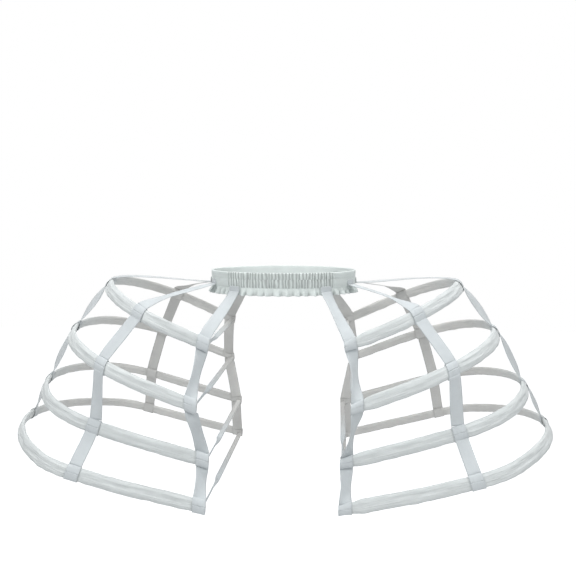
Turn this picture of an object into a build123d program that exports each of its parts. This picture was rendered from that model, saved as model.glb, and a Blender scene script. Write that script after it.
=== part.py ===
from build123d import *
import os
from math import atan2, ceil, cos, degrees, hypot, pi, radians, sin, sqrt

# Crinoline cage: a pull-on elastic waistband with two mirrored side cages.
# Each cage is four open steel hoops in cloth casings, hung on five tapes.
# Millimetres, +Z up, +Y to the back. Right is +X, the right as seen from the front.
# The origin is the middle of the waist opening, halfway up the gathered band.

# Waistband
waist_half_width = 122
waist_half_depth = 90
band_height = 26
band_cloth = 0.8
elastic_thickness = 1.0
elastic_width = 20
gather_height = 1.8
gather_pitch = 4.8
stitch_row_drop = 11
stitch_row_height = 1.4
panel_start = 86
frill_height = 12
frill_cloth = 0.9
frill_flare = 1.5
frill_wave_height = 2.6
frill_wave_start = 0.4
frill_wave_pitch = 13.5

# Hoops from the top one down: reach and inset are measured from the middle
hoop_reach = (302, 362, 413, 454)
hoop_inset = (106, 116, 100, 101)
hoop_half_depth = (155, 212, 202, 245)
hoop_corner_radius = (110, 175, 135, 80)
hoop_side_flatness = (10, 88, 63, 65)
hoop_tip_drop = (10, 87, 179, 250)
hoop_end_drop = (98, 183, 270, 338)
hoop_back_sag = (0, 0, 0, 12)
hoop_lean = 14
hoop_facet_turn = 9
casing_width = 24
casing_thickness = 7
casing_shoulder = 4
bone_width = 10
bone_thickness = 0.8
bone_end_margin = 12

# Tapes
tape_width = 20
tape_thickness = 1.0
tape_end_margin = 1.0
front_outer_places = (0.205, 0.21, 0.206, 0.198)
side_tape_places = (0.46, 0.46, 0.47, 0.5)
back_outer_places = (0.798, 0.804, 0.788, 0.804)
inner_seat_angle = 53
outer_seat_angle = 22
inner_seat_drop = 9
outer_seat_drop = 2
seat_height = 8
chord_width = 9
chord_thickness = 1.0
chord_inset = 5

# Room between sewn pieces
clearance = 0.3

hoop_count = len(hoop_reach)
band_wall = 2 * band_cloth + elastic_thickness + 2 * clearance
wrap_reach = casing_width / 2 + clearance + tape_thickness / 2


def hoop_plane(n):
    """The tilted plane that one right-hand hoop lies in, x outward and y to the back."""
    outward = Vector(hoop_reach[n] - hoop_inset[n], 0, hoop_end_drop[n] - hoop_tip_drop[n])
    backward = Vector(0, hoop_half_depth[n], -hoop_back_sag[n])
    middle = Vector(hoop_inset[n], 0, -hoop_end_drop[n])
    return Plane(origin=middle, x_dir=outward, z_dir=outward.cross(backward))


def hoop_path(n):
    """The line of a hoop's bone, from its open front end round the side to its back end."""
    length = hypot(hoop_reach[n] - hoop_inset[n], hoop_end_drop[n] - hoop_tip_drop[n])
    depth = hoop_half_depth[n]
    corner = hoop_corner_radius[n]
    side = depth + hoop_side_flatness[n]
    side_middle = length - side
    corner_middle = side_middle + sqrt((side - corner) ** 2 - (depth - corner) ** 2)
    turn = degrees(atan2(depth - corner, corner_middle - side_middle))
    with BuildLine(hoop_plane(n)) as line:
        Line((0, -depth), (corner_middle, -depth))
        CenterArc((corner_middle, corner - depth), corner, -90, 90 - turn)
        CenterArc((side_middle, 0), side, -turn, 2 * turn)
        CenterArc((corner_middle, depth - corner), corner, turn, 90 - turn)
        Line((corner_middle, depth), (0, depth))
    return faceted(line.wire())


def faceted(path):
    """A line of short straight runs along a smooth one, which keeps the solids light."""
    places = [path @ 0]
    travelled = 0
    for run in path.edges():
        bend = 0 if run.geom_type == GeomType.LINE else degrees(run.length / run.radius)
        steps = max(1, ceil(bend / hoop_facet_turn))
        for step in range(steps):
            places.append(path @ ((travelled + run.length * (step + 1) / steps) / path.length))
        travelled += run.length
    return Wire.make_polygon(places, close=False)


def upright(n, tangent):
    """Which way the height of the casing points where the hoop runs along a tangent."""
    across = hoop_plane(n).z_dir
    outward = tangent.cross(across)
    return across * cos(radians(hoop_lean)) - outward * sin(radians(hoop_lean))


def section_plane(n, place, tangent):
    """The plane of a section of a hoop, its x along the casing's height."""
    return Plane(origin=place, x_dir=upright(n, tangent), z_dir=tangent)


def casing_section(n, place, tangent, growth):
    """The flattened outline of the cloth tube, or one that stands off it by a growth."""
    top = casing_width / 2
    shoulder = top - casing_shoulder
    side = casing_thickness / 2
    with BuildSketch(section_plane(n, place, tangent)) as section:
        Polygon((top, 0), (shoulder, side), (-shoulder, side), (-top, 0), (-shoulder, -side), (shoulder, -side))
        if growth:
            offset(amount=growth, kind=Kind.INTERSECTION)
    return section.sketch


def bone_section(n, place, tangent, growth):
    """The flat outline of the steel, or of the slot that holds it."""
    with BuildSketch(section_plane(n, place, tangent)) as section:
        Rectangle(bone_width + 2 * growth, bone_thickness + 2 * growth)
    return section.sketch


def follow(n, path, section_at, growth, mode=Mode.ADD):
    """Carry a section along a stretch of a hoop's line."""
    sweep(section_at(n, path @ 0, path % 0, growth), path=path, transition=Transition.RIGHT, mode=mode)


def piece_of_path(path, middle, width):
    """A short stretch of a hoop's line, a given width about a place on it."""
    half = width / 2 / path.length
    return path.trim(max(middle - half, 0), min(middle + half, 1))


def save(name, piece):
    piece.part.label = name
    export_step(piece.part, f"parts/{name}.step")


def save_pair(name, piece):
    """Write a right-hand piece and its mirror image on the left."""
    save(f"right_{name}", piece)
    with BuildPart() as left_piece:
        mirror(piece.part, about=Plane.YZ)
    save(f"left_{name}", left_piece)


# Waistband: straight-flanked gathers at the front and back, on an ellipse
def waist_point(angle, stand_out):
    """A point that stands out from the waist ellipse, square to it."""
    x = waist_half_width * cos(angle)
    y = waist_half_depth * sin(angle)
    square = Vector(x / waist_half_width**2, y / waist_half_depth**2).normalized()
    return Vector(x, y) + square * stand_out


def wave_count(pitch):
    """How many waves of a pitch go round the waist, a multiple of four."""
    girth = 2 * pi * sqrt((waist_half_width**2 + waist_half_depth**2) / 2)
    return 4 * round(girth / pitch / 4)


def gathered_row(top, bottom, ridge):
    """One row of gathers between two levels of the band, each a fold with two flanks."""
    count = wave_count(gather_pitch)
    points = []
    for step in range(count):
        start = 2 * pi * step / count
        crest = start + pi / count
        points.append(waist_point(start, band_wall))
        if abs(waist_half_width * cos(crest)) < panel_start:
            points.append(waist_point(crest, band_wall + ridge))
    with BuildSketch(Plane.XY.offset(bottom)) as row:
        Polygon(*points, align=None)
    extrude(row.sketch, amount=top - bottom)


def frill_skin(stand_in, mode):
    """The solid within one face of the frill, waved more towards its lower edge."""
    middle = band_wall / 2 + frill_cloth / 2 - stand_in
    count = 2 * wave_count(frill_wave_pitch)
    levels = []
    for drop, wave, flare in ((0, frill_wave_start, 0), (frill_height, frill_wave_height, frill_flare)):
        points = []
        for step in range(count):
            swing = wave / 2 if step % 2 else -wave / 2
            points.append(waist_point(2 * pi * step / count, middle + flare + swing))
        with BuildSketch(Plane.XY.offset(-band_height / 2 - drop)) as level:
            Polygon(*points, align=None)
        levels.append(level.sketch)
    loft(levels, ruled=True, mode=mode)


def elastic_slots(gap, mode):
    """The two slots for the elastic at the front and back, made smaller by a gap."""
    inner = band_cloth + gap
    outer = band_wall - band_cloth - gap
    height = elastic_width + 2 * clearance - 2 * gap
    with BuildSketch(Plane.XY.offset(-height / 2)) as slots:
        Ellipse(waist_half_width + outer, waist_half_depth + outer)
        Ellipse(waist_half_width + inner, waist_half_depth + inner, mode=Mode.SUBTRACT)
        Rectangle(2 * (panel_start - gap), 3 * waist_half_depth, mode=Mode.INTERSECT)
    extrude(slots.sketch, amount=height, mode=mode)


os.makedirs("parts", exist_ok=True)

stitch_level = band_height / 2 - stitch_row_drop

with BuildPart() as waistband:
    gathered_row(band_height / 2, stitch_level, gather_height)
    gathered_row(stitch_level, stitch_level - stitch_row_height, gather_height / 4)
    gathered_row(stitch_level - stitch_row_height, -band_height / 2, gather_height)
    with BuildSketch(Plane.XY.offset(-band_height / 2)) as opening:
        Ellipse(waist_half_width, waist_half_depth)
    extrude(opening.sketch, amount=band_height, mode=Mode.SUBTRACT)
    elastic_slots(0, Mode.SUBTRACT)
    frill_skin(0, Mode.ADD)
    frill_skin(frill_cloth, Mode.SUBTRACT)
save("waistband", waistband)

for side, name in ((-1, "elastic_front"), (1, "elastic_back")):
    with BuildPart() as elastic:
        elastic_slots(clearance, Mode.ADD)
        split(bisect_by=Plane.XZ, keep=Keep.BOTTOM if side > 0 else Keep.TOP)
    save(name, elastic)


def make_casing(n):
    """A cloth tube sewn round the bone, closed at both ends."""
    path = hoop_path(n)
    bone_share = (bone_end_margin - clearance) / path.length
    with BuildPart() as casing:
        follow(n, path, casing_section, 0)
        follow(n, path.trim(bone_share, 1 - bone_share), bone_section, clearance, Mode.SUBTRACT)
    return casing


def make_bone(n):
    """The flat spring steel inside the casing."""
    path = hoop_path(n)
    bone_share = bone_end_margin / path.length
    with BuildPart() as bone:
        follow(n, path.trim(bone_share, 1 - bone_share), bone_section, 0)
    return bone


def end_place(n):
    """Where the inner tapes cross a hoop, as a share of its length."""
    return (tape_end_margin + tape_width / 2) / hoop_path(n).length


def make_chord(n):
    """The straight tape that ties a hoop's two ends together, front to back."""
    path = hoop_path(n)
    with BuildPart() as chord:
        with BuildSketch(hoop_plane(n)):
            with Locations((chord_inset, 0)):
                Rectangle(chord_thickness, 2 * hoop_half_depth[n])
        extrude(amount=chord_width / 2, both=True)
        for place in (end_place(n), 1 - end_place(n)):
            wrap_path = piece_of_path(path, place, 2 * tape_width)
            follow(n, wrap_path, casing_section, tape_thickness + 2 * clearance, Mode.SUBTRACT)
    return chord


def across_way(direction, wanted):
    """The direction nearest to the wanted one that is square to the way a strap runs."""
    return (wanted - direction * wanted.dot(direction)).normalized()


def strap(start, start_across, end, end_across):
    """A flat strap between two places, turning from one tape direction to the other."""
    direction = (end - start).normalized()
    ends = []
    for place, across in ((start, start_across), (end, end_across)):
        cut_plane = Plane(origin=place, x_dir=across_way(direction, across), z_dir=direction)
        with BuildSketch(cut_plane) as cut:
            Rectangle(tape_width, tape_thickness)
        ends.append(cut.sketch)
    loft(ends, ruled=True)


def make_tape(seat_angle, seat_drop, places):
    """One hanging tape: a seat on the waistband, then a wrap round each hoop below."""
    angle = radians(seat_angle)
    stand_out = band_wall + gather_height + clearance
    seat = waist_point(angle, stand_out)
    square = (waist_point(angle, stand_out + 1) - seat).normalized()
    along = Vector(-square.Y, square.X, 0)
    seat_top = Vector(seat.X, seat.Y, -seat_drop)
    seat_end = seat_top - Vector(0, 0, seat_height) + square * tape_thickness
    paths = [hoop_path(n) for n in range(hoop_count)]
    tangents = [path % place for path, place in zip(paths, places)]
    with BuildPart() as tape:
        with BuildSketch(Plane(origin=seat_top, x_dir=along, z_dir=(0, 0, -1))):
            with Locations((0, tape_thickness / 2)):
                Rectangle(tape_width, tape_thickness)
        extrude(amount=seat_height)
        start = seat_end
        for n, place in enumerate(places):
            middle = paths[n] @ place
            rise = upright(n, tangents[n]) * wrap_reach
            wrap_path = piece_of_path(paths[n], place, tape_width)
            follow(n, wrap_path, casing_section, clearance + tape_thickness)
            across = (tangents[max(n - 1, 0)] + tangents[n]).normalized()
            strap(start, across if n else along, middle + rise, across)
            start = middle - rise
        for n, place in enumerate(places):
            room_path = piece_of_path(paths[n], place, 2 * tape_width)
            follow(n, room_path, casing_section, clearance, Mode.SUBTRACT)
    return tape


for n in range(hoop_count):
    save_pair(f"hoop_{n + 1}_casing", make_casing(n))
    save_pair(f"hoop_{n + 1}_bone", make_bone(n))
    save_pair(f"hoop_{n + 1}_chord", make_chord(n))

front_ends = [end_place(n) for n in range(hoop_count)]
back_ends = [1 - place for place in front_ends]
save_pair("tape_front_inner", make_tape(-inner_seat_angle, inner_seat_drop, front_ends))
save_pair("tape_front_outer", make_tape(-outer_seat_angle, outer_seat_drop, front_outer_places))
save_pair("tape_side", make_tape(0, outer_seat_drop, side_tape_places))
save_pair("tape_back_outer", make_tape(outer_seat_angle, outer_seat_drop, back_outer_places))
save_pair("tape_back_inner", make_tape(inner_seat_angle, inner_seat_drop, back_ends))
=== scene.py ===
from math import atan2, cos, exp, pi, radians, sin, sqrt

import bmesh
import bpy
from bpy.props import FloatProperty, FloatVectorProperty, PointerProperty
from bpy.types import Operator, Panel, PropertyGroup
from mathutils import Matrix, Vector, noise


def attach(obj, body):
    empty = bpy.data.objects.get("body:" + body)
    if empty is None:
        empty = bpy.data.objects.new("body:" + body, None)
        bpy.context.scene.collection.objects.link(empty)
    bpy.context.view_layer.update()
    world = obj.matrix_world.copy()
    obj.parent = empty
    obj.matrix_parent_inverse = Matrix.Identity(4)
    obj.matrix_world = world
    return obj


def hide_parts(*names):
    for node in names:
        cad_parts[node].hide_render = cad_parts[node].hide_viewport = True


bl_info = {
    "name": "Crinoline Cage",
    "version": (1, 0, 0),
    "blender": (4, 5, 0),
    "location": "3D View > Sidebar > Crinoline",
    "description": "Dresses the frame of a side-hoop crinoline in gathered cloth, casings and tapes",
    "category": "Object",
}

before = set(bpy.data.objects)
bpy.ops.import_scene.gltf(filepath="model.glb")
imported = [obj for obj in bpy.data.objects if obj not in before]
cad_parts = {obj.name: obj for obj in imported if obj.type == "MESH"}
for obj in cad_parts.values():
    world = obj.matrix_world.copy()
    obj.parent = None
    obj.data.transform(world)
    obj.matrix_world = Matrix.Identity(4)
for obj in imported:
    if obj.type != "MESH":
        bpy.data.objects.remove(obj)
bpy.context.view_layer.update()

MM = 0.001
IMAGE_SIZE = 576
SENSOR_WIDTH = 36
SIDES = {"left": -1, "right": 1}


class Hoop:
    """A hoop's line: a U of straight runs and arcs in a tilted plane, here of the right-hand cage."""

    def __init__(self, reach, inset, depth, corner, flatness, tip_drop, end_drop, sag=0.0):
        self.outward = Vector((reach - inset, 0, end_drop - tip_drop)) * MM
        run = self.outward.length
        across = self.outward.cross(Vector((0, depth, -sag)))
        self.normal = across.normalized()
        self.outward.normalize()
        self.backward = self.normal.cross(self.outward)
        self.middle = Vector((inset, 0, -end_drop)) * MM
        self.depth = depth * MM
        self.corner = corner * MM
        self.side = (depth + flatness) * MM
        self.side_middle = run - self.side
        reach_over = (self.side - self.corner) ** 2 - (self.depth - self.corner) ** 2
        self.corner_middle = self.side_middle + sqrt(reach_over)
        self.turn = atan2(self.depth - self.corner, self.corner_middle - self.side_middle)
        self.corner_length = self.corner * (pi / 2 - self.turn)
        self.length = 2 * (self.corner_middle + self.corner_length + self.side * self.turn)

    def half(self, s):
        """In-plane place and heading a length s from the front end, up to the tip."""
        if s < self.corner_middle:
            return s, -self.depth, 0.0
        s -= self.corner_middle
        if s < self.corner_length:
            heading = s / self.corner
            x = self.corner_middle + self.corner * sin(heading)
            return x, self.corner - self.depth - self.corner * cos(heading), heading
        heading = pi / 2 - self.turn + (s - self.corner_length) / self.side
        x = self.side_middle + self.side * sin(heading)
        return x, -self.side * cos(heading), heading

    def at(self, s):
        """Place, tangent, plane normal and outward direction at a length s from the front end."""
        if s <= self.length / 2:
            x, y, heading = self.half(s)
        else:
            x, y, heading = self.half(self.length - s)
            y, heading = -y, pi - heading
        place = self.middle + self.outward * x + self.backward * y
        along = self.outward * cos(heading) + self.backward * sin(heading)
        out = self.outward * sin(heading) - self.backward * cos(heading)
        return place, along, self.normal, out


HOOPS = (
    Hoop(302, 106, 155, 110, 10, 10, 98),
    Hoop(362, 116, 212, 175, 88, 87, 183),
    Hoop(413, 100, 202, 135, 63, 179, 270),
    Hoop(454, 101, 245, 80, 65, 250, 338, 12),
)
END_PLACE = 11 * MM
FRONT_OUTER_SHARES = (0.205, 0.21, 0.206, 0.198)
SIDE_SHARES = (0.46, 0.46, 0.47, 0.5)
BACK_OUTER_SHARES = (0.798, 0.804, 0.788, 0.804)
INNER_SEAT = radians(53)
OUTER_SEAT = radians(22)
WAIST_HALF_WIDTH = 0.122
WAIST_HALF_DEPTH = 0.090
# Twice the band's radius of curvature at the inner tapes' seats and at the others
INNER_SEAT_CURVE = 0.252
OUTER_SEAT_CURVE = 0.16
# The band's radius where the inner tapes are sewn on
INNER_SEAT_RADIUS = 0.113
# Where the gathers end and the plain side panels begin, as a distance from the middle
PANEL_START = 0.083
CASING_GIRTH = 0.056
BAND_SECTION_GIRTH = 0.11
SEAT_HEIGHT = 0.0095
CHORD_DEPTH = 0.0008
# One layer of the band's cloth: 374 mm gathered 1.46 to 1 and 318 mm plain,
# with 26 mm of band and 12 mm of frill
FRONT_DROOP = (1.2 * MM, 0.0, 1.2 * MM, 3.0 * MM)


class CageSizes(PropertyGroup):
    """Sizes of the sewn parts that the frame doesn't settle."""

    casing_height: FloatProperty(
        name="Casing height",
        description="Width of the flattened cloth tube",
        default=0.0215,
        unit="LENGTH",
    )
    casing_depth: FloatProperty(
        name="Casing depth",
        description="Thickness of the cloth tube",
        default=0.0084,
        unit="LENGTH",
    )
    lean: FloatProperty(
        name="Lean",
        description="How far the casing's top leans inward",
        default=radians(14),
        subtype="ANGLE",
    )
    tape_width: FloatProperty(
        name="Tape width",
        description="Width of the hanging tapes",
        default=0.020,
        unit="LENGTH",
    )
    tape_depth: FloatProperty(
        name="Tape thickness",
        description="Thickness of the hanging tapes",
        default=0.0009,
        unit="LENGTH",
    )
    chord_width: FloatProperty(
        name="Chord width",
        description="Width of the narrow ties",
        default=0.009,
        unit="LENGTH",
    )
    gather_pitch: FloatProperty(
        name="Gather pitch",
        description="Distance between gathers on the band",
        default=0.0048,
        unit="LENGTH",
    )
    gather_height: FloatProperty(
        name="Gather height",
        description="How far the gathers stand out",
        default=0.0024,
        unit="LENGTH",
    )
    frill_pitch: FloatProperty(
        name="Frill pitch",
        description="Distance between waves of the frill",
        default=0.0135,
        unit="LENGTH",
    )
    frill_wave: FloatProperty(
        name="Frill wave",
        description="How far the frill waves in and out",
        default=0.0031,
        unit="LENGTH",
    )


class CageColours(PropertyGroup):
    """Cloth and metal colours."""

    band: FloatVectorProperty(
        name="Band cloth",
        description="Gathered waistband cloth",
        subtype="COLOR",
        default=(0.83, 0.89, 0.865),
    )
    casing: FloatVectorProperty(
        name="Casing cloth",
        description="Cloth round the hoops",
        subtype="COLOR",
        default=(0.74, 0.775, 0.77),
    )
    # Painted light: a warmer cloth colour that the materials blend in towards the back, standing in for
    # warmer light falling on the back of the cage.
    casing_painted_back_light: FloatVectorProperty(
        name="Casing at the back",
        description="Its warmer cast",
        subtype="COLOR",
        default=(0.74, 0.735, 0.71),
    )
    tape: FloatVectorProperty(
        name="Tape",
        description="Hanging tapes",
        subtype="COLOR",
        default=(0.66, 0.70, 0.715),
    )
    # Painted light: the tape's warmer colour towards the back, standing in for warmer light falling
    # there.
    tape_painted_back_light: FloatVectorProperty(
        name="Tape at the back",
        description="Its warmer cast",
        subtype="COLOR",
        default=(0.67, 0.665, 0.645),
    )
    steel: FloatVectorProperty(
        name="Steel",
        description="Flat spring steel in the hoops",
        subtype="COLOR",
        default=(0.55, 0.56, 0.58),
    )


class StudioSettings(PropertyGroup):
    """The camera, lamps and floor."""

    azimuth: FloatProperty(
        name="Azimuth",
        description="Camera turn to the right",
        default=radians(3.85),
        subtype="ANGLE",
    )
    elevation: FloatProperty(
        name="Elevation",
        description="Camera height as an angle",
        default=radians(5.5),
        subtype="ANGLE",
    )
    distance: FloatProperty(
        name="Distance",
        description="Camera distance from the target",
        default=1.4,
        unit="LENGTH",
    )
    focal_pixels: FloatProperty(
        name="Focal length",
        description="Focal length in pixels of the image",
        default=800,
    )
    target: FloatVectorProperty(
        name="Target",
        description="Point that the camera looks at",
        default=(0.008, 0, -0.020),
        unit="LENGTH",
    )
    floor: FloatProperty(
        name="Floor",
        description="Height of the floor under a wearer's waist",
        default=-1.0,
        unit="LENGTH",
    )


# Materials
def new_material(name, colour, roughness):
    """A cloth or metal surface with its plain values on the shader's own sockets."""
    material = bpy.data.materials.new(name)
    material.use_nodes = True
    shader = material.node_tree.nodes["Principled BSDF"]
    shader.inputs["Base Color"].default_value = (*colour, 1)
    shader.inputs["Roughness"].default_value = roughness
    return material, material.node_tree, shader


def add_node(tree, kind, **values):
    """One node, with its inputs set by name and its settings by attribute."""
    node = tree.nodes.new(kind)
    for key, value in values.items():
        if key in node.inputs:
            node.inputs[key].default_value = value
        else:
            setattr(node, key, value)
    return node


def blend_by(tree, factor, first, second):
    """A colour that goes from the first to the second with a factor."""
    mix = add_node(tree, "ShaderNodeMix", data_type="RGBA")
    mix.inputs["A"].default_value = (*first, 1)
    mix.inputs["B"].default_value = (*second, 1)
    tree.links.new(factor, mix.inputs["Factor"])
    return mix.outputs["Result"]


def stretched(tree, source, low, high, bottom, top):
    """A value mapped from low..high to bottom..top."""
    remap = add_node(tree, "ShaderNodeMapRange")
    for name, value in (("From Min", low), ("From Max", high), ("To Min", bottom), ("To Max", top)):
        remap.inputs[name].default_value = value
    tree.links.new(source, remap.inputs["Value"])
    return remap.outputs[0]


def product(tree, first, second):
    """Two values multiplied."""
    node = add_node(tree, "ShaderNodeMath", operation="MULTIPLY")
    tree.links.new(first, node.inputs[0])
    tree.links.new(second, node.inputs[1])
    return node.outputs[0]


def thread_weave(tree, pitch, diagonal):
    """Threads both ways, on the cloth's own UV map in metres."""
    uv = add_node(tree, "ShaderNodeUVMap")
    turned = add_node(tree, "ShaderNodeMapping")
    turned.inputs["Rotation"].default_value = (0, 0, diagonal)
    tree.links.new(uv.outputs["UV"], turned.inputs["Vector"])
    waves = []
    for direction in ("X", "Y"):
        wave = add_node(tree, "ShaderNodeTexWave", wave_type="BANDS", bands_direction=direction)
        wave.inputs["Scale"].default_value = 0.314 / pitch
        wave.inputs["Distortion"].default_value = 1.2
        wave.inputs["Detail"].default_value = 1.0
        tree.links.new(turned.outputs["Vector"], wave.inputs["Vector"])
        waves.append(wave.outputs["Fac"])
    return product(tree, *waves)


def woven_material(name, cool, painted_back_light, thread_pitch, diagonal=0.0, grime=0.05, gloss=0.3, roughness=0.7):
    """Woven cloth: threads, uneven tone, soft creases, and painted warm light towards the back."""
    material, tree, shader = new_material(name, cool, roughness)
    shader.inputs["Sheen Weight"].default_value = 0.15
    shader.inputs["Sheen Roughness"].default_value = 0.5
    shader.inputs["Specular IOR Level"].default_value = gloss
    link = tree.links.new
    weave = thread_weave(tree, thread_pitch, diagonal)
    place = add_node(tree, "ShaderNodeTexCoord").outputs["Object"]
    split = add_node(tree, "ShaderNodeSeparateXYZ")
    link(place, split.inputs[0])
    # Painted light: the colour blends from the cool front colour to the warm one towards the back, for
    # warmer light on the back of the cage.
    behind = stretched(tree, split.outputs["Y"], -0.06, 0.12, 0.0, 1.0)
    cast = blend_by(tree, behind, cool, painted_back_light)
    blotch = add_node(tree, "ShaderNodeTexNoise", Scale=55.0, Detail=4.0, Roughness=0.55)
    link(place, blotch.inputs["Vector"])
    shade = stretched(tree, blotch.outputs["Fac"], 0.25, 0.75, 1 - grime, 1 + grime / 2)
    both = product(tree, shade, stretched(tree, weave, 0.0, 1.0, 0.94, 1.0))
    tint = add_node(tree, "ShaderNodeMix", data_type="RGBA", blend_type="MULTIPLY")
    tint.inputs["Factor"].default_value = 1.0
    link(cast, tint.inputs["A"])
    link(both, tint.inputs["B"])
    link(tint.outputs["Result"], shader.inputs["Base Color"])

    fine = add_node(tree, "ShaderNodeBump", Strength=0.3, Distance=0.0002)
    link(weave, fine.inputs["Height"])
    creases = add_node(tree, "ShaderNodeTexNoise", Scale=120.0, Detail=3.0)
    link(place, creases.inputs["Vector"])
    soft = add_node(tree, "ShaderNodeBump", Strength=0.3, Distance=0.0012)
    link(creases.outputs["Fac"], soft.inputs["Height"])
    link(fine.outputs["Normal"], soft.inputs["Normal"])
    link(soft.outputs["Normal"], shader.inputs["Normal"])
    return material


def casing_material(colours):
    """The satin-faced cotton of the casings, drawn into fine lengthwise creases."""
    # The second colour is painted warm light towards the back.
    cool, painted_back_light = colours.casing, colours.casing_painted_back_light
    material = woven_material("casing_cotton", cool, painted_back_light, 0.0005, gloss=0.45, roughness=0.5)
    tree = material.node_tree
    shader = tree.nodes["Principled BSDF"]
    uv = add_node(tree, "ShaderNodeUVMap")
    drawn = add_node(tree, "ShaderNodeMapping")
    drawn.inputs["Scale"].default_value = (330, 16, 1)
    tree.links.new(uv.outputs["UV"], drawn.inputs["Vector"])
    streaks = add_node(tree, "ShaderNodeTexNoise", Scale=1.0, Detail=3.0, Distortion=0.6)
    tree.links.new(drawn.outputs["Vector"], streaks.inputs["Vector"])
    bump = add_node(tree, "ShaderNodeBump", Strength=0.9, Distance=0.0018)
    tree.links.new(streaks.outputs["Fac"], bump.inputs["Height"])
    tree.links.new(shader.inputs["Normal"].links[0].from_socket, bump.inputs["Normal"])
    tree.links.new(bump.outputs["Normal"], shader.inputs["Normal"])
    return material


def tape_material(name, colours):
    """Twill tape, its threads on the slant."""
    # Its second colour is painted warm light towards the back.
    return woven_material(name, colours.tape, colours.tape_painted_back_light, 0.0006, diagonal=radians(32))


def band_material(colours):
    """The gathered band's cotton with painted shade in the valleys of its gathers and on the frill
    under the band, and fine ribs across its plain side panels.
    """
    material = woven_material("band_cotton", colours.band, colours.band, 0.00045)
    tree = material.node_tree
    shader = tree.nodes["Principled BSDF"]
    # Painted shade: the base colour is darkened to as little as 0.58 where the value stored on the band
    # is low, in gather valleys and on the frill.
    painted_fold_shade = add_node(tree, "ShaderNodeAttribute", attribute_name="painted_fold_shade")
    depth = stretched(tree, painted_fold_shade.outputs["Fac"], 0.05, 0.75, 0.58, 1.0)
    fold_shading = add_node(tree, "ShaderNodeMix", data_type="RGBA", blend_type="MULTIPLY")
    fold_shading.inputs["Factor"].default_value = 1.0
    tree.links.new(shader.inputs["Base Color"].links[0].from_socket, fold_shading.inputs["A"])
    tree.links.new(depth, fold_shading.inputs["B"])
    tree.links.new(fold_shading.outputs["Result"], shader.inputs["Base Color"])
    place = add_node(tree, "ShaderNodeTexCoord").outputs["Object"]
    split = add_node(tree, "ShaderNodeSeparateXYZ")
    tree.links.new(place, split.inputs[0])
    aside = add_node(tree, "ShaderNodeMath", operation="ABSOLUTE")
    tree.links.new(split.outputs["X"], aside.inputs[0])
    panel = stretched(tree, aside.outputs[0], 0.082, 0.088, 0.0, 1.0)
    ribs = add_node(tree, "ShaderNodeTexWave", wave_type="BANDS", bands_direction="Z")
    ribs.inputs["Scale"].default_value = 0.314 / 0.0021
    ribs.inputs["Distortion"].default_value = 0.6
    tree.links.new(place, ribs.inputs["Vector"])
    bump = add_node(tree, "ShaderNodeBump", Strength=0.8, Distance=0.0006)
    tree.links.new(product(tree, panel, ribs.outputs["Fac"]), bump.inputs["Height"])
    tree.links.new(shader.inputs["Normal"].links[0].from_socket, bump.inputs["Normal"])
    tree.links.new(bump.outputs["Normal"], shader.inputs["Normal"])
    return material


def steel_material(colour):
    """Flat spring steel, lightly drawn along its length."""
    material, tree, shader = new_material("spring_steel", colour, 0.34)
    shader.inputs["Metallic"].default_value = 1.0
    place = add_node(tree, "ShaderNodeTexCoord")
    grain = add_node(tree, "ShaderNodeTexNoise", Scale=260.0, Detail=2.0)
    tree.links.new(place.outputs["Object"], grain.inputs["Vector"])
    bump = add_node(tree, "ShaderNodeBump", Strength=0.2, Distance=0.0002)
    tree.links.new(grain.outputs["Fac"], bump.inputs["Height"])
    tree.links.new(bump.outputs["Normal"], shader.inputs["Normal"])
    return material


# Cloth shapes
def cloth_grid(bm, across, along, size, place):
    """A grid of cloth, laid where place(u, v) says, with its UV map in metres."""
    made = bmesh.ops.create_grid(bm, x_segments=across, y_segments=along, size=0.5)["verts"]
    uv_map = bm.loops.layers.uv.verify()
    for face in {face for vert in made for face in vert.link_faces}:
        face.smooth = True
        for loop in face.loops:
            flat = loop.vert.co
            loop[uv_map].uv = ((flat.x + 0.5) * size[0], (flat.y + 0.5) * size[1])
    for vert in made:
        vert.co = place(vert.co.x + 0.5, vert.co.y + 0.5)
    return made


def finish_piece(bm, name, material, slot, *nodes):
    """Makes the piece's object, rides it on the frame and puts it in its nodes' place."""
    mesh = bpy.data.meshes.new(name)
    bm.to_mesh(mesh)
    bm.free()
    mesh.materials.append(material)
    piece = bpy.data.objects.new(name, mesh)
    bpy.context.scene.collection.objects.link(piece)
    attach(piece, "root")
    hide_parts(*nodes)
    return piece


def close_shell(bm):
    """Joins a closed piece's seams and turns its faces outward."""
    bmesh.ops.remove_doubles(bm, verts=bm.verts, dist=0.01 * MM)
    bmesh.ops.recalc_face_normals(bm, faces=bm.faces)


def ease(x):
    """A smooth step from 0 to 1."""
    x = min(max(x, 0.0), 1.0)
    return x * x * (3 - 2 * x)


def wander(a, b=0.0, c=0.0):
    """Smooth noise from -1 to 1, the same on each run."""
    return noise.noise(Vector((a, b, c)))


def mirrored(point, side):
    """A point of the right-hand cage, or its place on the left."""
    return Vector((point.x * side, point.y, point.z))


def leaned(hoop, s, lean):
    """Place, tangent, height and thickness directions of the casing on a hoop."""
    place, along, normal, out = hoop.at(s)
    height = normal * cos(lean) - out * sin(lean)
    depth = out * cos(lean) + normal * sin(lean)
    droop = FRONT_DROOP[HOOPS.index(hoop)] * exp(-(((s / hoop.length - 0.13) / 0.07) ** 2))
    return place - height * droop, along, height, depth


def crossings(number):
    """Where the five tapes cross a hoop, as lengths from its front end."""
    length = HOOPS[number].length
    shares = (FRONT_OUTER_SHARES[number], SIDE_SHARES[number], BACK_OUTER_SHARES[number])
    return [END_PLACE, *(share * length for share in shares), length - END_PLACE]


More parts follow.
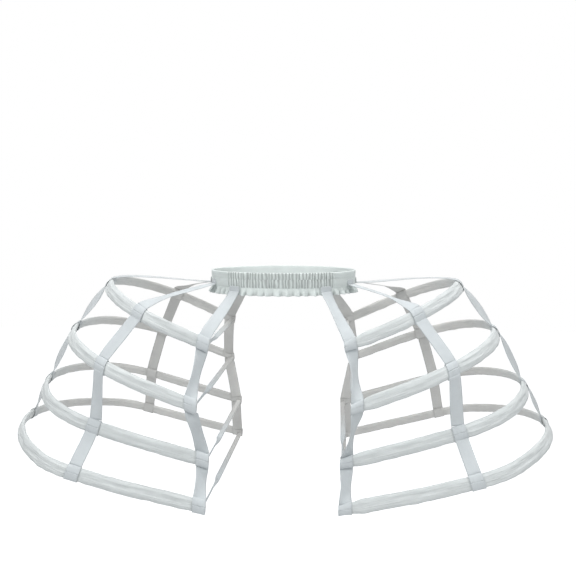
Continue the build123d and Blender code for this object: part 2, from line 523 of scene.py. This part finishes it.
def casing_halves(hoop, s, side, sizes):
    """Half the height and half the thickness of the casing, slimmer at its ends and at the back."""
    share = s / hoop.length
    slim = 1 - 0.15 * ease((share - 0.42) / 0.2)
    squeeze = 0.42 if side > 0 else 0.08
    slim *= 1 - squeeze * (1 - ease(s / 0.042))
    slim *= 1 - 0.15 * (1 - ease((hoop.length - s) / 0.03))
    return sizes.casing_height / 2 * slim, sizes.casing_depth / 2 * (0.75 + 0.25 * slim)


def waist_point(angle, stand_out):
    """A point that stands out from the band's inner ellipse, square to it."""
    half_width, half_depth = WAIST_HALF_WIDTH, WAIST_HALF_DEPTH
    x, y = half_width * cos(angle), half_depth * sin(angle)
    square = Vector((x / half_width**2, y / half_depth**2, 0)).normalized()
    return Vector((x, y, 0)) + square * stand_out, square


# Operators
class CRINOLINE_OT_studio(Operator):
    """Add the camera, lamps, white surround and floor"""

    bl_idname = "crinoline.studio"
    bl_label = "Studio"

    def execute(self, context):
        scene = context.scene
        studio = scene.crinoline_studio
        target = Vector(studio.target)
        turn, rise = studio.azimuth, studio.elevation
        back = Vector((sin(turn) * cos(rise), -cos(turn) * cos(rise), sin(rise)))
        data = bpy.data.cameras.new("camera")
        data.sensor_width = SENSOR_WIDTH
        data.lens = studio.focal_pixels / IMAGE_SIZE * SENSOR_WIDTH
        data.clip_start = 0.05
        camera = bpy.data.objects.new("camera", data)
        camera.location = target + back * studio.distance
        camera.rotation_euler = back.to_track_quat("Z", "Y").to_euler()
        scene.collection.objects.link(camera)
        scene.camera = camera
        scene.view_settings.view_transform = "Standard"
        self.add_lamp(scene, "key", (-1.3, -1.5, 1.5), 0.8, 24)
        self.add_lamp(scene, "fill", (1.6, -1.6, 0.7), 1.2, 14)
        self.add_lamp(scene, "top", (0.2, 0.2, 1.9), 1.2, 24)
        self.add_surround(scene)
        self.add_floor(scene, studio)
        return {"FINISHED"}

    def add_lamp(self, scene, name, place, size, power):
        lamp = bpy.data.lights.new(name, "AREA")
        lamp.shape = "DISK"
        lamp.size = size
        lamp.energy = power
        holder = bpy.data.objects.new(name, lamp)
        holder.location = place
        aim = Vector(place) - Vector((0, 0, -0.15))
        holder.rotation_euler = aim.to_track_quat("Z", "Y").to_euler()
        scene.collection.objects.link(holder)

    def add_surround(self, scene):
        world = bpy.data.worlds.new("surround")
        world.use_nodes = True
        tree = world.node_tree
        light = tree.nodes["Background"]
        light.inputs["Color"].default_value = (0.93, 0.965, 1.0, 1)
        light.inputs["Strength"].default_value = 0.35
        seen = add_node(tree, "ShaderNodeBackground", Strength=1.0)
        seen.inputs["Color"].default_value = (1, 1, 1, 1)
        rays = add_node(tree, "ShaderNodeLightPath")
        either = add_node(tree, "ShaderNodeMath", operation="MAXIMUM")
        any_seen = add_node(tree, "ShaderNodeMath", operation="MAXIMUM")
        tree.links.new(rays.outputs["Is Camera Ray"], either.inputs[0])
        tree.links.new(rays.outputs["Is Glossy Ray"], either.inputs[1])
        tree.links.new(either.outputs[0], any_seen.inputs[0])
        tree.links.new(rays.outputs["Is Transmission Ray"], any_seen.inputs[1])
        mix = add_node(tree, "ShaderNodeMixShader")
        tree.links.new(any_seen.outputs[0], mix.inputs["Fac"])
        tree.links.new(light.outputs[0], mix.inputs[1])
        tree.links.new(seen.outputs[0], mix.inputs[2])
        tree.links.new(mix.outputs[0], tree.nodes["World Output"].inputs["Surface"])
        scene.world = world

    def add_floor(self, scene, studio):
        bm = bmesh.new()
        bmesh.ops.create_grid(bm, x_segments=1, y_segments=1, size=6)
        bmesh.ops.translate(bm, verts=bm.verts, vec=(0, 0, studio.floor))
        mesh = bpy.data.meshes.new("floor")
        bm.to_mesh(mesh)
        bm.free()
        floor = bpy.data.objects.new("floor", mesh)
        material, tree, shader = new_material("pale_floor", (0.9, 0.9, 0.9), 0.9)
        glow = add_node(tree, "ShaderNodeEmission", Strength=0.72)
        rays = add_node(tree, "ShaderNodeLightPath")
        shown = add_node(tree, "ShaderNodeAddShader")
        mix = add_node(tree, "ShaderNodeMixShader")
        tree.links.new(shader.outputs[0], shown.inputs[0])
        tree.links.new(glow.outputs[0], shown.inputs[1])
        tree.links.new(rays.outputs["Is Camera Ray"], mix.inputs["Fac"])
        tree.links.new(shader.outputs[0], mix.inputs[1])
        tree.links.new(shown.outputs[0], mix.inputs[2])
        tree.links.new(mix.outputs[0], tree.nodes["Material Output"].inputs["Surface"])
        mesh.materials.append(material)
        scene.collection.objects.link(floor)


class CRINOLINE_OT_waistband(Operator):
    """Sew the gathered waistband with its frill"""

    bl_idname = "crinoline.waistband"
    bl_label = "Waistband"

    AROUND = 1580
    # Stand-out and level of the band's section, from its inner lower edge up over the top and down
    SECTION = (
        (0.5, -12.6), (0.1, -11), (0.0, -4), (0.0, 5), (0.1, 11), (0.6, 12.7), (1.7, 13.1), (2.9, 12.8),
        (3.5, 11.6), (3.7, 9.5), (3.6, 6), (3.5, 3.6), (3.2, 2.2), (3.1, 1.4), (3.4, 0.2), (3.7, -3),
        (3.8, -7), (3.4, -10.6), (2.7, -12.2), (2.7, -13.2), (3.0, -15), (3.8, -18.5), (4.6, -22),
        (5.2, -24.4), (4.9, -24.9), (4.3, -24.4), (3.7, -22), (2.9, -18.5), (2.0, -15), (1.4, -13.4),
    )

    def execute(self, context):
        sizes = context.scene.crinoline_sizes
        girth = 2 * pi * sqrt((WAIST_HALF_WIDTH**2 + WAIST_HALF_DEPTH**2) / 2)
        gathers = round(girth / sizes.gather_pitch)
        waves = round(girth / sizes.frill_pitch)
        steps = len(self.SECTION) * 2

        def section_at(v):
            spot = v * len(self.SECTION)
            index = int(spot) % len(self.SECTION)
            share = spot - int(spot)
            a, b = self.SECTION[index], self.SECTION[(index + 1) % len(self.SECTION)]
            return a[0] + (b[0] - a[0]) * share, a[1] + (b[1] - a[1]) * share

        def pressed(angle):
            """How flat a sewn tape holds the cloth under it, from 0 to 1."""
            seats = (INNER_SEAT, pi - INNER_SEAT, pi + INNER_SEAT, 2 * pi - INNER_SEAT)
            aside = min(abs(angle - seat) for seat in seats) * INNER_SEAT_RADIUS
            return 1 - ease((aside - sizes.tape_width / 2 - 1.2 * MM) / (3 * MM))

        def place(u, v):
            angle = 2 * pi * (u % 1)
            out, level = section_at(v % 1)
            x = WAIST_HALF_WIDTH * cos(angle)
            plain = ease((abs(x) - PANEL_START) / (8 * MM))
            outer = ease((out - 1.6) / 1.2) * ease((level + 13.6) / 2.5)
            row = 1 if level < 1.8 else 0
            slant = (0.5 + 2.4 * wander(angle * 5, 3.0)) * level / 13
            phase = gathers * angle + slant + 3.2 * wander(angle * 12, row * 0.4) + row * 0.8
            phase += 1.6 * wander(angle * 26, level * 0.09, 5.0)
            ridge = (1 - abs(cos(phase / 2))) ** 0.8
            pinch = 1 - 0.35 * exp(-(((level - 1.6) / 1.0) ** 2))
            edge = 1 - 0.4 * ease((level - 11.5) / 1.5)
            lift = sizes.gather_height / MM * (ridge - 0.4) * outer * (1 - plain) * pinch * edge
            lift *= 0.85 + 0.5 * wander(angle * 23, level * 0.12, 3.0)
            held = pressed(angle)
            lift *= 1 - held * ease((-4 - level) / 2)
            level += 0.35 * ridge * ease((level - 10) / 2) * (1 - plain)
            drop = ease((-13.0 - level) / 11)
            sway = 0.9 * wander(angle * 6, 8.0)
            wave = sin(waves * angle + 2.4 * sway) + 0.35 * sin(2.3 * waves * angle + 1.0)
            lift += sizes.frill_wave / MM * drop * wave * (1 - held)
            out -= 0.9 * drop * held
            level += drop * (0.9 * wander(angle * 13, 2.0) + 0.5 * cos(waves * angle + 2.4 * sway))
            # Painted shade value for the material: low in the valleys between gathers and on the frill
            # under the band, less low where the frill waves out.
            folds.append(1 - outer * (1 - plain) * (1 - ridge) - drop * (0.36 - 0.3 * wave))
            point, _ = waist_point(angle, (out + lift) * MM)
            return Vector((point.x, point.y, level * MM))

        folds = []
        bm = bmesh.new()
        # A float layer that carries the painted shade of the gathers and frill to the material.
        painted_fold_shade = bm.verts.layers.float.new("painted_fold_shade")
        made = cloth_grid(bm, self.AROUND, steps, (girth, BAND_SECTION_GIRTH), place)
        for vert, value in zip(made, folds):
            vert[painted_fold_shade] = value
        close_shell(bm)
        material = band_material(context.scene.crinoline_colours)
        piece = finish_piece(bm, "waistband_cloth", material, "band_cloth", "waistband")
        return {"FINISHED"}


class CRINOLINE_OT_casings(Operator):
    """Sew the eight cloth casings round the hoops"""

    bl_idname = "crinoline.casings"
    bl_label = "Casings"

    ROUND = 36
    STEP = 0.0028

    def execute(self, context):
        sizes = context.scene.crinoline_sizes
        material = casing_material(context.scene.crinoline_colours)
        for side_name, side in SIDES.items():
            for number, hoop in enumerate(HOOPS):
                seed = 10 * number + 50 * (side + 1)
                bm = bmesh.new()
                shape = self.tube(hoop, number, side, seed, sizes)
                cells = round(hoop.length / self.STEP)
                cloth_grid(bm, self.ROUND, cells, (CASING_GIRTH, hoop.length), shape)
                close_shell(bm)
                node = f"{side_name}_hoop_{number + 1}_casing"
                finish_piece(bm, f"{node}_cloth", material, "casing_cloth", node)
        return {"FINISHED"}

    def tube(self, hoop, number, side, seed, sizes):
        ties = crossings(number)

        def place(u, v):
            s = v * hoop.length
            spot, _, height, depth = leaned(hoop, s, sizes.lean)
            half_height, half_depth = casing_halves(hoop, s, side, sizes)
            near = max(min(abs(s - tie) for tie in ties) - sizes.tape_width / 2, 0)
            pull = exp(-near / 0.008)
            free = 0.12 + 0.88 * ease(near / 0.004)
            half_height *= 1 - 0.06 * pull + 0.045 * free * wander(s * 40, seed)
            half_depth *= 1 - 0.16 * pull + 0.16 * free * wander(s * 48, seed, 7.0)
            end = min(s, hoop.length - s)
            closing = sqrt(max(0.0, 1 - (1 - min(end / 0.004, 1.0)) ** 2))
            turn = 2 * pi * (u % 1)
            flat, thin = sin(turn), cos(turn)
            folds = 0.75 * wander(s * 26, seed + 2.1 * flat, 1.7 * thin)
            folds += 0.45 * wander(s * 70, seed + 4.5 * flat, 9 + 3.0 * thin)
            puckers = 0.9 * pull * wander(s * 120, seed + 5.5 * flat, 20 + 4.0 * thin)
            crease = -0.8 * exp(-((flat * 3.0 - 1.3 * wander(s * 14, seed, 4)) ** 2 * 1.6))
            swell = (folds + puckers + crease * (1 - pull)) * 1.3 * MM * abs(thin) ** 0.5
            swell *= free
            sag = 0.9 * MM * free * max(-flat, 0) * wander(s * 65, seed, 13.0)
            tall = (half_height * flat + sag) * closing
            thick = (half_depth * thin + (swell if thin > 0 else -swell)) * closing
            return mirrored(spot + height * tall + depth * thick, side)

        return place


class CRINOLINE_OT_tapes(Operator):
    """Hang the ten tapes and wrap them round the hoops"""

    bl_idname = "crinoline.tapes"
    bl_label = "Tapes"

    # How far each strap turns over between two hoops: front inner, front outer, side, back outer
    # and back inner tape, from the band down
    TURNS = {
        -1: (
            (0, 0.8, 0.9, 0.6),
            (0.1, 0.1, -0.1, 0.1),
            (0, 0.55, 0.6, 0.5),
            (0, 0.1, 0, 0.1),
            (0, 0, 0.2, 0),
        ),
        1: (
            (-0.4, -1.25, -1.1, -0.9),
            (-0.1, 0, 0.1, 0.1),
            (0, 0.5, 0.5, 0.4),
            (0, 0.1, 0, 0),
            (0, 0, 0.2, 0),
        ),
    }

    def execute(self, context):
        sizes = context.scene.crinoline_sizes
        material = tape_material("tape_twill", context.scene.crinoline_colours)
        seats = (-INNER_SEAT, -OUTER_SEAT, 0.0, OUTER_SEAT, INNER_SEAT)
        names = ("front_inner", "front_outer", "side", "back_outer", "back_inner")
        for side_name, side in SIDES.items():
            for index, (name, seat) in enumerate(zip(names, seats)):
                bm = bmesh.new()
                seed = 7 * index + 40 * (side + 1)
                self.hang(bm, index, seat, side, seed, sizes)
                node = f"{side_name}_tape_{name}"
                piece = finish_piece(bm, f"{node}_cloth", material, "tape", node)
                wall = piece.modifiers.new("thickness", "SOLIDIFY")
                wall.thickness = sizes.tape_depth
                wall.offset = 0.0
        return {"FINISHED"}

    def hang(self, bm, index, seat, side, seed, sizes):
        """The straps of one tape, from its seat on the band down through its wraps."""
        inner = index in (0, 4)
        top, square = waist_point(seat, (5.8 if inner else 4.7) * MM)
        top.z = -11.5 * MM if inner else -2.5 * MM
        along = Vector((-square.y, square.x, 0))
        curve = INNER_SEAT_CURVE if inner else OUTER_SEAT_CURVE
        self.lay_seat(bm, top, along, square, curve, side, sizes)
        start = top - Vector((0, 0, 7 * MM)) + square * 0.4 * MM
        leaving = Vector((0, 0, -1)) if inner else None
        start_across = along
        centres = [leaned(hoop, crossings(n)[index], sizes.lean)[0] for n, hoop in enumerate(HOOPS)]
        for number, hoop in enumerate(HOOPS):
            s = crossings(number)[index]
            spot, tangent, height, depth = leaned(hoop, s, sizes.lean)
            half, thick = casing_halves(hoop, s, side, sizes)
            below = centres[number + 1] - spot if number < 3 else spot - centres[number - 1]
            slant = min(max(below.dot(tangent) / below.dot(height), -0.45), 0.45)
            way_up = (height + tangent * slant).normalized()
            if inner:
                lift = -depth * (thick + 0.5 * MM)
                end, bottom = (spot + way_up * k * (half - 2 * MM) + lift for k in (1, -1))
            else:
                end = spot + way_up * (half + 0.7 * MM) + depth * 0.8 * MM
                bottom = spot - way_up * half * 0.85 + depth * (thick * 0.6 + 0.6 * MM)
            turn = self.TURNS[side][index][number]
            leaving = leaving or (end - start).normalized()
            ends = (start, leaving, start_across), (end, -way_up, tangent)
            held_flat = 0.6 if number == 0 and not inner else 0.0
            self.lay_strap(bm, ends, turn, held_flat, side, seed + number, sizes)
            self.lay_wrap(bm, hoop, s, slant, side, seed + number, sizes)
            start, leaving, start_across = bottom, -way_up, tangent

    def lay_seat(self, bm, top, along, square, curve, side, sizes):
        """The sewn end on the band, with its upper corners rounded off."""

        def place(u, v):
            across = (u - 0.5) * sizes.tape_width
            round_off = 1.6 * MM * (abs(u - 0.5) * 2) ** 6 * (1 - v)
            sink = across**2 / curve
            drop = 1.8 * MM - v * 9.5 * MM - round_off
            return mirrored(top + along * across - square * sink + Vector((0, 0, drop)), side)

        cloth_grid(bm, 12, 6, (sizes.tape_width, SEAT_HEIGHT), place)

    def lay_strap(self, bm, ends, turn, held_flat, side, seed, sizes):
        """One strap between two holds, nearly taut, turning over a little on the way."""
        (start, leaving, start_across), (end, arriving, end_across) = ends
        direct = end - start
        span = direct.length
        direct.normalize()
        reach = span * 0.22
        first = start + (leaving * 0.3 + direct * 0.7) * reach
        last = end - (arriving * 0.3 + direct * 0.7) * reach

        def place(u, v):
            w = 1 - v
            spot = start * w**3 + first * (3 * w * w * v) + last * (3 * w * v * v) + end * v**3
            run = (first - start) * (w * w) + (last - first) * (2 * w * v) + (end - last) * (v * v)
            run.normalize()
            swing = ease((v - held_flat) / (1 - held_flat))
            across = start_across * (1 - swing) + end_across * swing
            square = (across - run * across.dot(run)).normalized()
            across = across.lerp(square, ease(v * span / 0.012)).normalized()
            face = run.cross(across).normalized()
            tilt = turn * sin(pi * v) + 0.12 * sin(2 * pi * v) * wander(seed * 2.9)
            across, face = across * cos(tilt) + face * sin(tilt), face * cos(tilt) - across * sin(tilt)
            sway = sin(pi * v) * 1.6 * MM * wander(seed * 3.1, v * 1.5)
            curl = ((u - 0.5) ** 2 - 0.08) * (1.2 + 2.4 * abs(turn) * sin(pi * v)) * MM
            ripple = 0.25 * MM * wander(v * span * 90, seed, u * 2.0)
            offset = across * (u - 0.5) * sizes.tape_width + face * (sway + curl + ripple)
            return mirrored(spot + offset, side)

        cells = max(14, round(span / 0.004))
        cloth_grid(bm, 10, cells, (sizes.tape_width, span), place)

    def lay_wrap(self, bm, hoop, s, slant, side, seed, sizes):
        """The tape's turn round the casing at one crossing, slanted as its straps run."""

        def place(u, v):
            turn = 2 * pi * (v % 1)
            flat, thin = sin(turn), cos(turn)
            half, thick = casing_halves(hoop, s, side, sizes)
            shift = slant * half * flat
            here = s + (u - 0.5) * sizes.tape_width * 1.02 + shift
            here = min(max(here, -1.0 * MM), hoop.length + 1.0 * MM)
            inside = min(max(here, 0.0), hoop.length)
            spot, along, height, depth = leaned(hoop, inside, sizes.lean)
            half, thick = casing_halves(hoop, inside, side, sizes)
            rim = 0.5 * MM * (2 * abs(u - 0.5)) ** 3 * (1 + wander(seed * 2.3, v * 6, u * 2))
            pucker = 0.35 * MM * wander(seed * 4.1, u * 7, v * 5)
            tall = (half + 0.6 * MM + 0.3 * rim) * flat
            thick = (thick + 0.55 * MM + rim + pucker) * thin
            spot = spot + along * (here - inside)
            return mirrored(spot + height * tall + depth * thick, side)

        made = cloth_grid(bm, 14, 44, (sizes.tape_width, CASING_GIRTH), place)
        bmesh.ops.remove_doubles(bm, verts=made, dist=0.01 * MM)


class CRINOLINE_OT_chords(Operator):
    """Stretch the eight narrow ties between the ends of the hoops"""

    bl_idname = "crinoline.chords"
    bl_label = "Chords"

    def execute(self, context):
        sizes = context.scene.crinoline_sizes
        material = tape_material("chord_tape", context.scene.crinoline_colours)
        for side_name, side in SIDES.items():
            for number, hoop in enumerate(HOOPS):
                bm = bmesh.new()
                seed = number + 9 * (side + 1)
                self.stretch(bm, hoop, side, seed, sizes)
                node = f"{side_name}_hoop_{number + 1}_chord"
                piece = finish_piece(bm, f"{node}_tape", material, "tape", node)
                wall = piece.modifiers.new("thickness", "SOLIDIFY")
                wall.thickness = CHORD_DEPTH
                wall.offset = 0.0
        return {"FINISHED"}

    def stretch(self, bm, hoop, side, seed, sizes):
        """A narrow tape that turns over once on its way from front to back."""
        inset = hoop.outward * 5 * MM
        room = sizes.casing_depth / 2 - 0.2 * MM
        front = hoop.at(0)[0] + inset + hoop.backward * room
        back = hoop.at(hoop.length)[0] + inset - hoop.backward * room

        def place(u, v):
            spot = front.lerp(back, v)
            twist = pi / 2 * ease((v - 0.22) / 0.16) + 0.3 * wander(v * 3, seed) * sin(pi * v)
            across = hoop.normal * cos(twist) + hoop.outward * sin(twist)
            sag = hoop.normal * (-3 * MM * sin(pi * v))
            return mirrored(spot + sag + across * (u - 0.5) * sizes.chord_width, side)

        cloth_grid(bm, 4, 110, (sizes.chord_width, (back - front).length), place)


class CRINOLINE_OT_inner_parts(Operator):
    """Give the steel bones and the elastic their finish"""

    bl_idname = "crinoline.inner_parts"
    bl_label = "Inner parts"

    def execute(self, context):
        colours = context.scene.crinoline_colours
        steel = steel_material(colours.steel)
        elastic = woven_material("knitted_elastic", colours.band, colours.band, 0.0008)
        for name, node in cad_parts.items():
            if name.endswith("_bone"):
                node.material_slots[0].material = steel
            elif name.startswith("elastic"):
                node.material_slots[0].material = elastic
        return {"FINISHED"}


class CRINOLINE_PT_panel(Panel):
    """Lists the steps that dress the frame"""

    bl_idname = "CRINOLINE_PT_panel"
    bl_label = "Crinoline Cage"
    bl_space_type = "VIEW_3D"
    bl_region_type = "UI"
    bl_category = "Crinoline"

    def draw(self, context):
        for operator in OPERATORS:
            self.layout.operator(operator.bl_idname)
        scene = context.scene
        for group in (scene.crinoline_sizes, scene.crinoline_colours, scene.crinoline_studio):
            for key in group.__annotations__:
                self.layout.prop(group, key)


OPERATORS = (
    CRINOLINE_OT_studio,
    CRINOLINE_OT_waistband,
    CRINOLINE_OT_casings,
    CRINOLINE_OT_tapes,
    CRINOLINE_OT_chords,
    CRINOLINE_OT_inner_parts,
)
GROUPS = (CageSizes, CageColours, StudioSettings)


def register():
    for cls in (*GROUPS, *OPERATORS, CRINOLINE_PT_panel):
        bpy.utils.register_class(cls)
    bpy.types.Scene.crinoline_sizes = PointerProperty(type=CageSizes)
    bpy.types.Scene.crinoline_colours = PointerProperty(type=CageColours)
    bpy.types.Scene.crinoline_studio = PointerProperty(type=StudioSettings)


def unregister():
    del bpy.types.Scene.crinoline_studio
    del bpy.types.Scene.crinoline_colours
    del bpy.types.Scene.crinoline_sizes
    for cls in reversed((*GROUPS, *OPERATORS, CRINOLINE_PT_panel)):
        bpy.utils.unregister_class(cls)


def main():
    register()
    bpy.ops.crinoline.studio()
    bpy.ops.crinoline.waistband()
    bpy.ops.crinoline.casings()
    bpy.ops.crinoline.tapes()
    bpy.ops.crinoline.chords()
    bpy.ops.crinoline.inner_parts()


if __name__ == "__main__":
    main()
